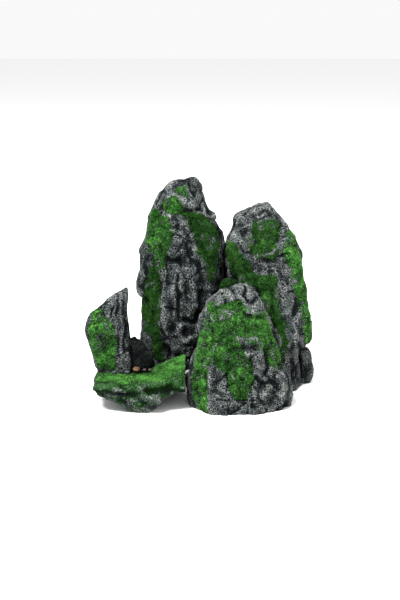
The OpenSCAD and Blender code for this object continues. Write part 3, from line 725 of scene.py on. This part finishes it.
def strewn(corners, spacing):
    """Points spread over triangles: each is cut into even steps along two of its sides."""
    longest = np.linalg.norm(corners[:, 1] - corners[:, 0], axis=-1).max()
    steps = max(2, int(longest / spacing))
    share = [(i / steps, j / steps) for i in range(steps + 1) for j in range(steps + 1 - i)]
    a, b = np.array(share).T
    weights = np.stack([1 - a - b, a, b], -1)
    return np.einsum("sw,twx->tsx", weights, corners).reshape(-1, 3)


def distance_to(points, cloud, reach):
    """Distance from each point to the nearest of a cloud, or the reach where that is less. Both
    are counted in millimetres from the cloud's middle, so that single precision is enough."""
    found = np.full(points.shape[:-1], reach)
    low, high = cloud.min(0) - reach, cloud.max(0) + reach
    close = ((points > low) & (points < high)).all(-1)
    middle = cloud.mean(0)
    picks = ((points[close] - middle) / MM).astype(np.float32)
    cloud = ((cloud - middle) / MM).astype(np.float32)
    nearest = np.empty(len(picks))
    batch = 1000
    for start in range(0, len(picks), batch):
        part = picks[start:start + batch]
        gap = (cloud ** 2).sum(1) - 2 * part @ cloud.T
        nearest[start:start + batch] = gap.min(1) + (part ** 2).sum(1)
    found[close] = np.minimum(np.sqrt(np.maximum(nearest, 0)) * MM, reach)
    return found


def cover_of(node, skin, seed):
    """How well moss covers each point of a stone, from 0 to 1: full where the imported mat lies,
    with a ragged border, and thin on marked ridges and in the deepest cracks."""
    plain = skin["plain"]
    away = distance_to(plain, strewn(corners_of(node), 1.5 * MM), 6 * MM)
    ragged = relief("fringe", plain, seed) + relief("lobe", plain, seed + 4)
    overhang = 1.1 * MM
    cover = ramp(-1.2 * MM, 2.2 * MM, overhang + ragged - away)
    worn = 0.5 + 0.5 * swells(plain, 4.5 * MM, seed + 12)
    ridge_wear, thinning = 0.65, 0.30
    cover *= 1 - ridge_wear * skin["bare"] * ramp(0.1, 0.7, 1 - cover * worn)
    thin = (1 - ramp(0.12, 0.42, worn)) * (1 - 0.7 * cover)
    return cover * (1 - thinning * thin) * ramp(-0.05, 0.08, skin["tone"])


def mean_cover(cover):
    """Mean of the cover over each square of a skin."""
    a, b, c, d = squares_of(cover)
    return (a + d + b + c) / 4


# Share of the flat map that a patch's mat takes up, below its fibres, and the gap between them
MAT_SHARE = 0.3
MAP_GAP = 0.01


def mat_on(skin, cover, height, seed):
    """A closed mat on the well covered squares of a skin, its upper side lifted in soft tufts:
    its points, its faces and their places on the flat map."""
    least_cover = 0.62
    depth = 0.3 * MM
    rows, columns = cover.shape
    squares = np.stack(squares_of(np.arange(rows * columns).reshape(rows, columns)), -1)
    used, top = np.unique(squares[mean_cover(cover) > least_cover], return_inverse=True)
    top = top.reshape(-1, 4)
    spots = skin["points"].reshape(-1, 3)[used]
    out = skin["out"].reshape(-1, 3)[used]
    tuft = 1 + 0.5 * swells(spots, 2.4 * MM, seed + 8)
    lift = height * ramp(0.3, 1.0, cover.ravel()[used]) * tuft
    points = np.concatenate([spots + out * lift[:, None], spots - out * depth])
    size = len(used)
    edges = np.stack([top, np.roll(top, -1, 1)], -1).reshape(-1, 2)
    code = edges[:, 0] * size + edges[:, 1]
    border = edges[~np.isin(edges[:, 1] * size + edges[:, 0], code)]
    walls = np.stack([border[:, 1], border[:, 0], border[:, 0] + size, border[:, 1] + size], -1)
    quads = np.concatenate([top, top[:, ::-1] + size, walls])
    row, column = used // columns, used % columns
    span = np.array([max(1, np.ptp(column)), max(1, np.ptp(row))])
    spread = np.stack([column - column.min(), row - row.min()], -1) / span
    places = np.tile(spread * (1, MAT_SHARE - MAP_GAP), (2, 1))
    return points, quads, places[quads]


def blend(first, second, share):
    """From the first where the share is 0 to the second where it is 1."""
    return first * (1 - share) + second * share


def unit(directions):
    """Directions cut or stretched to a length of 1."""
    return directions / np.linalg.norm(directions, axis=-1, keepdims=True)


def flock_on(skin, cover, moss, seed):
    """Flock where the cover is: each fibre is a spike of four faces, rooted and leaning at
    random. Gives the points, the faces, their places on the flat map and each fibre's tint."""
    rng = np.random.default_rng(seed)
    points = skin["points"]
    a, b, c, d = squares_of(points)
    area = np.linalg.norm(np.cross(c - a, d - b), axis=-1) / 2
    chance = area * mean_cover(cover)
    density = moss.density * 1
    count = int(chance.sum() / MM ** 2 * density)
    pick = rng.choice(chance.size, count, p=(chance / chance.sum()).ravel())
    s, t = rng.random((2, count, 1))
    a, b, c, d = (corner.reshape(-1, 3)[pick] for corner in (a, b, c, d))
    root = blend(blend(a, b, s), blend(d, c, s), t)
    out = skin["out"].reshape(-1, 3)[pick]
    lean = rng.normal(0, 0.42, (count, 3))
    upwards = (0, 0, 0.15)
    stand = unit(out + lean + upwards)
    side = unit(np.cross(stand, rng.normal(0, 1, (count, 3))))
    other = np.cross(stand, side)
    tufted = 1 + 0.35 * swells(root, 4 * MM, seed + 9)
    length = moss.fibre * (0.55 + 0.9 * rng.random(count)) * tufted
    breadth = moss.breadth * (0.7 + 0.6 * rng.random(count)) / 2
    root_depth = 0.25
    start = root - stand * root_depth * MM
    spike = [start + breadth[:, None] * (cos(turn) * side + sin(turn) * other)
        for turn in (0, 2 * pi / 3, 4 * pi / 3)]
    spike.append(root + stand * length[:, None])
    pattern = np.array([[0, 2, 1], [0, 1, 3], [1, 2, 3], [2, 0, 3]])
    faces = (4 * np.arange(count)[:, None, None] + pattern).reshape(-1, 3)
    cells = int(np.ceil(np.sqrt(count)))
    cell = np.stack([np.arange(count) % cells, np.arange(count) // cells], -1) / cells
    corner = np.array([(0.1, 0.1), (0.9, 0.1), (0.5, 0.9)]) / cells
    places = (cell[:, None, None] + np.stack([corner] * 4)) * (1, 1 - MAP_GAP - MAT_SHARE)
    places = places + (0, MAT_SHARE)
    return np.stack(spike, 1).reshape(-1, 3), faces, places.reshape(-1, 3, 2), rng.random(count)


def moss_piece(node, stone_node, seed):
    """A patch of moss: a closed mat over part of a stone's skin, with flock standing in it."""
    moss = bpy.context.scene.cave_moss
    skin = SKINS[stone_node]
    cover = cover_of(node, skin, seed)
    skin["green"] = np.maximum(skin["green"], cover)
    mat, quads, quad_map = mat_on(skin, cover, moss.mat, seed)
    fibres, spikes, spike_map, tints = flock_on(skin, cover, moss, seed)
    mat_tip, mat_tint = np.full(len(mat), 0.25), np.full(len(mat), 0.4)
    values = {
        "tip": np.concatenate([mat_tip, np.tile([0, 0, 0, 1.0], len(tints))]),
        "tint": np.concatenate([mat_tint, np.repeat(tints, 4)]),
    }
    return mesh_piece(node + "_flock", np.concatenate([mat, fibres]),
        [quads, spikes + len(mat)], [quad_map, spike_map], values, smooth=False)


def stain(stone_node):
    """Tells a stone's paint where moss lies on it, so that it is green under the flock."""
    skin = SKINS[stone_node]
    mesh = skin["piece"].data
    values = np.zeros(len(mesh.vertices), np.float32)
    green = skin["green"].ravel()
    start = skin["offset"]
    values[start:start + len(green)] = green
    mesh.attributes["green"].data.foreach_set("value", values)


# ---------------------------------------------------------------- pebbles


def pebble_shell(centre, size, seed, wear):
    """A worn pebble: a ball squashed to its size, its reach from the middle varied by swells."""
    rows, columns = 18, 28
    tilt = np.linspace(-pi / 2, pi / 2, rows + 2)[1:-1, None]
    turn = np.linspace(0, 2 * pi, columns, endpoint=False)
    ring = np.stack(np.broadcast_arrays(
        np.cos(tilt) * np.cos(turn), np.cos(tilt) * np.sin(turn), np.sin(tilt)), -1)
    poles = np.array([[0, 0, -1.0], [0, 0, 1.0]])
    ball = np.concatenate([poles[:1], ring.reshape(-1, 3), poles[1:]])
    reach = 1 - wear + wear * swells(ball, 0.9, seed) + 0.3 * wear * swells(ball, 0.35, seed + 4)
    faces, maps = closed_grid(rows, columns)
    return centre + ball * reach[:, None] * size / 2, faces, maps


def gravel_piece(node, count, wear):
    """One or two pebbles in a node's box, side by side along X, each as wide as it is deep."""
    low, high = (np.array(corner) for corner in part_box(node))
    size = high - low
    size[0] = size[1]
    shells = []
    for i in range(count):
        centre = (low + high) / 2
        centre[0] = low[0] + size[0] / 2 if i == 0 else high[0] - size[0] / 2
        shells.append(pebble_shell(centre, size, 31 * i + len(node), wear))
    points = len(shells[0][0])
    faces = [np.concatenate([shell[1][kind] + points * i for i, shell in enumerate(shells)])
        for kind in (0, 1)]
    maps = [np.concatenate([(shell[2][kind] + (i, 0)) / (count, 1)
        for i, shell in enumerate(shells)]) for kind in (0, 1)]
    cloud = np.concatenate([shell[0] for shell in shells])
    return mesh_piece(node + "_gravel", cloud, faces, maps)


# ---------------------------------------------------------------- shaders


class Signal:
    """The value of a shader socket. Sums, differences and products of signals add Math nodes."""

    def __init__(self, paint, socket):
        self.paint = paint
        self.socket = socket

    def worked(self, operation, *values):
        """A Math node's result."""
        return self.paint.node("ShaderNodeMath", {"operation": operation},
            dict(enumerate(values)))

    def __add__(self, other):
        return self.worked("ADD", self, other)

    def __radd__(self, other):
        return self.worked("ADD", other, self)

    def __sub__(self, other):
        return self.worked("SUBTRACT", self, other)

    def __rsub__(self, other):
        return self.worked("SUBTRACT", other, self)

    def __mul__(self, other):
        return self.worked("MULTIPLY", self, other)

    def __rmul__(self, other):
        return self.worked("MULTIPLY", other, self)

    def within(self, low, high):
        """0 below low, 1 above high, and even between."""
        return self.paint.node("ShaderNodeMapRange", {"clamp": True},
            {"Value": self, "From Min": low, "From Max": high})


class Paint:
    """A material and the nodes in it."""

    def __init__(self, name):
        self.material = bpy.data.materials.new(name)
        self.material.use_nodes = True
        self.tree = self.material.node_tree
        self.surface = self.tree.nodes["Principled BSDF"]
        self.place = self.node("ShaderNodeTexCoord", {}, {}, "Object")

    def node(self, kind, settings, values, output=0):
        """A new node of a kind, its settings made first and then its sockets' values or links;
        gives the named or numbered output."""
        made = self.tree.nodes.new(kind)
        for title, setting in settings.items():
            if title == "stops":
                self.set_stops(made.color_ramp, setting)
            else:
                setattr(made, title, setting)
        self.fill(made, values)
        return Signal(self, made.outputs[output])

    def set_stops(self, band, stops):
        """Gives a colour band its stops, each a position and a colour."""
        while len(band.elements) < len(stops):
            band.elements.new(0.5)
        for element, (position, colour) in zip(band.elements, stops):
            element.position = position
            element.color = (*colour, 1)

    def fill(self, made, values):
        """Links or sets the named sockets of a node."""
        for title, value in values.items():
            if isinstance(value, Signal):
                self.tree.links.new(value.socket, made.inputs[title])
            else:
                made.inputs[title].default_value = value

    def carried(self, title):
        """A value that the mesh carries on its points."""
        return self.node("ShaderNodeAttribute", {"attribute_name": title}, {}, "Fac")

    def vectored(self, operation, values):
        """A Vector Math node's result."""
        return self.node("ShaderNodeVectorMath", {"operation": operation}, values, "Vector")

    def wandering(self, pitch, distance):
        """The place, shifted every way by noise of a pitch, by up to half a distance."""
        noise = self.node("ShaderNodeTexNoise", {}, {"Vector": self.place, "Scale": 1 / pitch,
            "Detail": 2.0}, "Color")
        centred = self.vectored("SUBTRACT", {0: noise, 1: (0.5, 0.5, 0.5)})
        moved = self.vectored("SCALE", {0: centred, "Scale": distance})
        return self.vectored("ADD", {0: self.place, 1: moved})

    def netted(self, pitch):
        """Distance from the ridges of a wandering net, 0 on a ridge and about 0.4 in a pit."""
        return self.node("ShaderNodeTexVoronoi", {"feature": "DISTANCE_TO_EDGE"},
            {"Vector": self.wandering(1.5 * pitch, 1.6 * pitch), "Scale": 1 / pitch}, "Distance")

    def cloudy(self, pitch, detail=3.0, roughness=0.55):
        """Even noise from 0 to 1 with a pitch in metres."""
        return self.node("ShaderNodeTexNoise", {}, {"Vector": self.place, "Scale": 1 / pitch,
            "Detail": detail, "Roughness": roughness}, "Fac")

    def mottled(self, amount, pitch, detail=3.0):
        """Noise of a pitch about zero, from minus to plus half an amount."""
        return (self.cloudy(pitch, detail) - 0.5) * amount

    def shades(self, signal, *stops):
        """Colours along a signal."""
        return self.node("ShaderNodeValToRGB", {"stops": stops}, {"Fac": signal}, "Color")

    def blended(self, share, first, second):
        """Two signals of colour mixed by a share."""
        return self.node("ShaderNodeMix", {"data_type": "RGBA"},
            {"Factor": share, 6: first, 7: second}, 2)

    def bumped(self, height, distance, strength):
        """Normals of a surface raised by a height."""
        return self.node("ShaderNodeBump", {}, {"Height": height, "Distance": distance,
            "Strength": strength}, "Normal")

    def finish(self, colour, roughness, specular, bump=None):
        """Sets the surface's colour, roughness, mirror-like part and relief."""
        self.fill(self.surface, {
            "Base Color": colour,
            "Roughness": roughness,
            "Specular IOR Level": specular,
        })
        if bump:
            self.fill(self.surface, {"Normal": bump})
        return self.material


def scaled(colour, factor):
    """A colour made brighter or darker."""
    return tuple(min(1, channel * factor) for channel in colour)


def stone_paint(name, body=1.0, ridge=1.0, tinge=0.25, lift=0.0):
    """Dark cast resin, dry-brushed pale on its ridges: the tone that the mesh carries, spread by a
    painted net and by fine and broad noise, picks the paint. Under moss it is green, and the tinge
    dusts it with green elsewhere. Body and ridge scale two of the stones' colours, and the lift
    makes the whole tone paler; a stone that lies in shadow gets a low body, ridge and lift as
    painted shade."""
    paint = Paint(name)
    stone = bpy.context.scene.cave_stone
    moss = bpy.context.scene.cave_moss
    body_colour = scaled(stone.body_paint, body)
    ridge_colour = scaled(stone.ridge_paint, ridge)
    pale_colour = tuple(b + (r - b) * 0.42 for b, r in zip(body_colour, ridge_colour))
    threads = 1 - paint.netted(stone.fine_net).within(0.015, 0.125)
    threads = threads * (1 - paint.carried("calm").within(0.9, 1.1))
    strength = 0.55 + 0.45 * paint.cloudy(7 * MM, 2).within(0.32, 0.62)
    tone = paint.carried("tone") + (lift - 0.24) + threads * strength * 0.64
    tone = tone + paint.mottled(0.40, 1.0 * MM, 4) + paint.mottled(0.35, 12 * MM, 2)
    rock = paint.shades(tone, (0.14, tuple(stone.hollow_paint)), (0.36, scaled(body_colour, 0.42)),
        (0.55, body_colour), (0.74, pale_colour), (0.95, ridge_colour))
    greenish = paint.shades(tone, (0.15, scaled(moss.deep_green, 0.6)),
        (0.60, scaled(moss.green, 0.55)), (0.95, tuple(0.8 * c + 0.05 for c in moss.green)))
    dust = paint.cloudy(5 * MM, 3).within(0.52, 0.80) * tinge
    mask = (paint.carried("green") + dust).within(0.03, 0.40)
    grain = paint.cloudy(0.55 * MM, 5, 0.65)
    return paint.finish(paint.blended(mask, rock, greenish), 0.92 - 0.30 * tone.within(0.3, 0.9),
        0.03, paint.bumped(threads + grain, 0.30 * MM, 0.8))


def moss_paint(name, painted_lighting):
    """Flock: deep green at the root, brighter towards the tip, in tufts of different greens. The
    painted lighting makes all of a patch brighter or darker: painted light where a lamp falls on
    the patch, painted shade where it lies in shadow."""
    paint = Paint(name)
    moss = bpy.context.scene.cave_moss
    tufts = paint.mottled(1.3, 1.6 * MM) + paint.mottled(1.4, 8 * MM)
    tufts = tufts + paint.mottled(0.9, 0.8 * MM, 2)
    share = paint.carried("tip") * 0.35 + paint.carried("tint") * 0.70 + tufts
    # painted light and shade: the patch's green and fresh green are scaled by its brightness
    green = paint.shades(share, (0.0, moss.deep_green), (0.45, scaled(moss.green, painted_lighting)),
        (0.95, scaled(moss.fresh_green, painted_lighting)))
    return paint.finish(green, 0.85, 0.02, paint.bumped(paint.cloudy(0.4 * MM, 3), 0.1 * MM, 0.5))


def pebble_paint(name, colour):
    """Worn gravel: its own colour with veins and specks, a little glossy."""
    paint = Paint(name)
    grain = paint.cloudy(1.3 * MM, 5, 0.7)
    tone = paint.shades(grain + paint.mottled(0.5, 2.4 * MM, 2), (0.25, scaled(colour, 0.35)),
        (0.52, colour), (0.8, scaled(colour, 1.7)))
    return paint.finish(tone, 0.42 + 0.3 * grain, 0.2, paint.bumped(grain, 0.08 * MM, 0.6))


# ---------------------------------------------------------------- operators


def finished(piece, node, material):
    """Hands a new piece over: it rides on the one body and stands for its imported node."""
    piece.data.materials.append(material)
    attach(piece, "root")
    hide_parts(node)


class CAVE_OT_stones(bpy.types.Operator):
    """Build and paint the weathered stones"""
    bl_idname = "cave.stones"
    bl_label = "Stones"

    def execute(self, context):
        seed = 0
        for node, (slot, skin, paint) in STONES.items():
            seed += 100
            finished(stone_piece(node, seed, **skin), node,
                stone_paint(node + "_paint", **paint))
        return {"FINISHED"}


class CAVE_OT_moss(bpy.types.Operator):
    """Flock the moss on the finished stones"""
    bl_idname = "cave.moss"
    bl_label = "Moss"

    def execute(self, context):
        missing = [stone for stone in PATCHES if stone not in SKINS]
        if missing:
            raise RuntimeError(f"build these stones before their moss: {missing}")
        seed = 1000
        for stone, patches in PATCHES.items():
            for patch, painted_lighting in patches.items():
                seed += 20
                # each patch's paint gets its brightness, which is painted light or painted shade
                finished(moss_piece(patch, stone, seed), patch,
                    moss_paint(patch + "_paint", painted_lighting))
            stain(stone)
        return {"FINISHED"}


class CAVE_OT_pebbles(bpy.types.Operator):
    """Lay the pebbles at the foot of the spire"""
    bl_idname = "cave.pebbles"
    bl_label = "Pebbles"

    def execute(self, context):
        pebble = context.scene.cave_pebble
        for node, (slot, colour, count) in PEBBLES.items():
            finished(gravel_piece(node, count, pebble.wear), node,
                pebble_paint(node + "_stone", getattr(pebble, colour)))
        return {"FINISHED"}


def lay_floor(foot):
    """A wide pale floor under the ornament."""
    half = 6.0
    corners = foot + np.array([(-half, -half, 0), (half, -half, 0), (half, half, 0),
        (-half, half, 0)])
    mesh = bpy.data.meshes.new("floor")
    mesh.from_pydata(corners.tolist(), [], [(0, 1, 2, 3)])
    floor = bpy.data.objects.new("floor", mesh)
    bpy.context.scene.collection.objects.link(floor)
    paint = Paint("floor_paint")
    pale = paint.shades(paint.cloudy(20 * MM, 2), (0.3, (0.92, 0.92, 0.92)),
        (0.7, (0.94, 0.94, 0.94)))
    mesh.materials.append(paint.finish(pale, 1.0, 0.0))


def light_studio(aim):
    """Soft light from all round, and round lamps that face a point."""
    world = bpy.data.worlds.new("studio")
    world.use_nodes = True
    sky = world.node_tree.nodes["Background"].inputs
    sky["Color"].default_value = (1, 1, 1, 1)
    sky["Strength"].default_value = SKY_LIGHT
    bpy.context.scene.world = world
    for name, (place, size, power) in LAMPS.items():
        light = bpy.data.lights.new(name, "AREA")
        light.shape = "DISK"
        light.size = size
        light.energy = power
        lamp = bpy.data.objects.new(name, light)
        bpy.context.scene.collection.objects.link(lamp)
        lamp.location = aim + place
        facing = Vector(aim) - lamp.location
        lamp.rotation_euler = facing.to_track_quat("-Z", "Y").to_euler()


def place_camera(aim, stage):
    """A camera in front of a point, looking down at it."""
    data = bpy.data.cameras.new("camera")
    data.lens = stage.lens
    data.sensor_width = 36
    data.clip_start = 0.01
    data.clip_end = 50
    camera = bpy.data.objects.new("camera", data)
    bpy.context.scene.collection.objects.link(camera)
    back = np.array([0, -cos(stage.rise), sin(stage.rise)])
    camera.location = aim + back * stage.distance
    camera.rotation_euler = (pi / 2 - stage.rise, 0, 0)
    bpy.context.scene.camera = camera


class CAVE_OT_stage(bpy.types.Operator):
    """Set the floor, the lights and the camera"""
    bl_idname = "cave.stage"
    bl_label = "Stage"

    def execute(self, context):
        stage = context.scene.cave_stage
        low, high = (np.array(corner) for corner in CAD_BOX)
        foot = np.array([(low[0] + high[0]) / 2, (low[1] + high[1]) / 2, low[2]])
        aim = foot + np.array(stage.aim)
        lay_floor(foot)
        light_studio(aim)
        place_camera(aim, stage)
        context.scene.view_settings.view_transform = "Standard"
        return {"FINISHED"}


OPERATORS = (CAVE_OT_stage, CAVE_OT_stones, CAVE_OT_moss, CAVE_OT_pebbles)


class CAVE_PT_panel(bpy.types.Panel):
    """Steps of the ornament, in order"""
    bl_idname = "CAVE_PT_panel"
    bl_label = "Cave Ornament"
    bl_space_type = "VIEW_3D"
    bl_region_type = "UI"
    bl_category = "Cave"

    def draw(self, context):
        for operator in OPERATORS:
            self.layout.operator(operator.bl_idname)


CLASSES = (*SETTINGS.values(), *OPERATORS, CAVE_PT_panel)


def register():
    """Registers the classes and hangs the settings on the scene."""
    for cls in CLASSES:
        bpy.utils.register_class(cls)
    for name, group in SETTINGS.items():
        setattr(bpy.types.Scene, name, PointerProperty(type=group))


def unregister():
    """Takes the settings and the classes away again."""
    for name in SETTINGS:
        delattr(bpy.types.Scene, name)
    for cls in reversed(CLASSES):
        bpy.utils.unregister_class(cls)


def main():
    """Registers the classes and builds the ornament in order."""
    register()
    for operator in OPERATORS:
        getattr(bpy.ops.cave, operator.bl_idname.split(".")[1])()


if __name__ == "__main__":
    main()
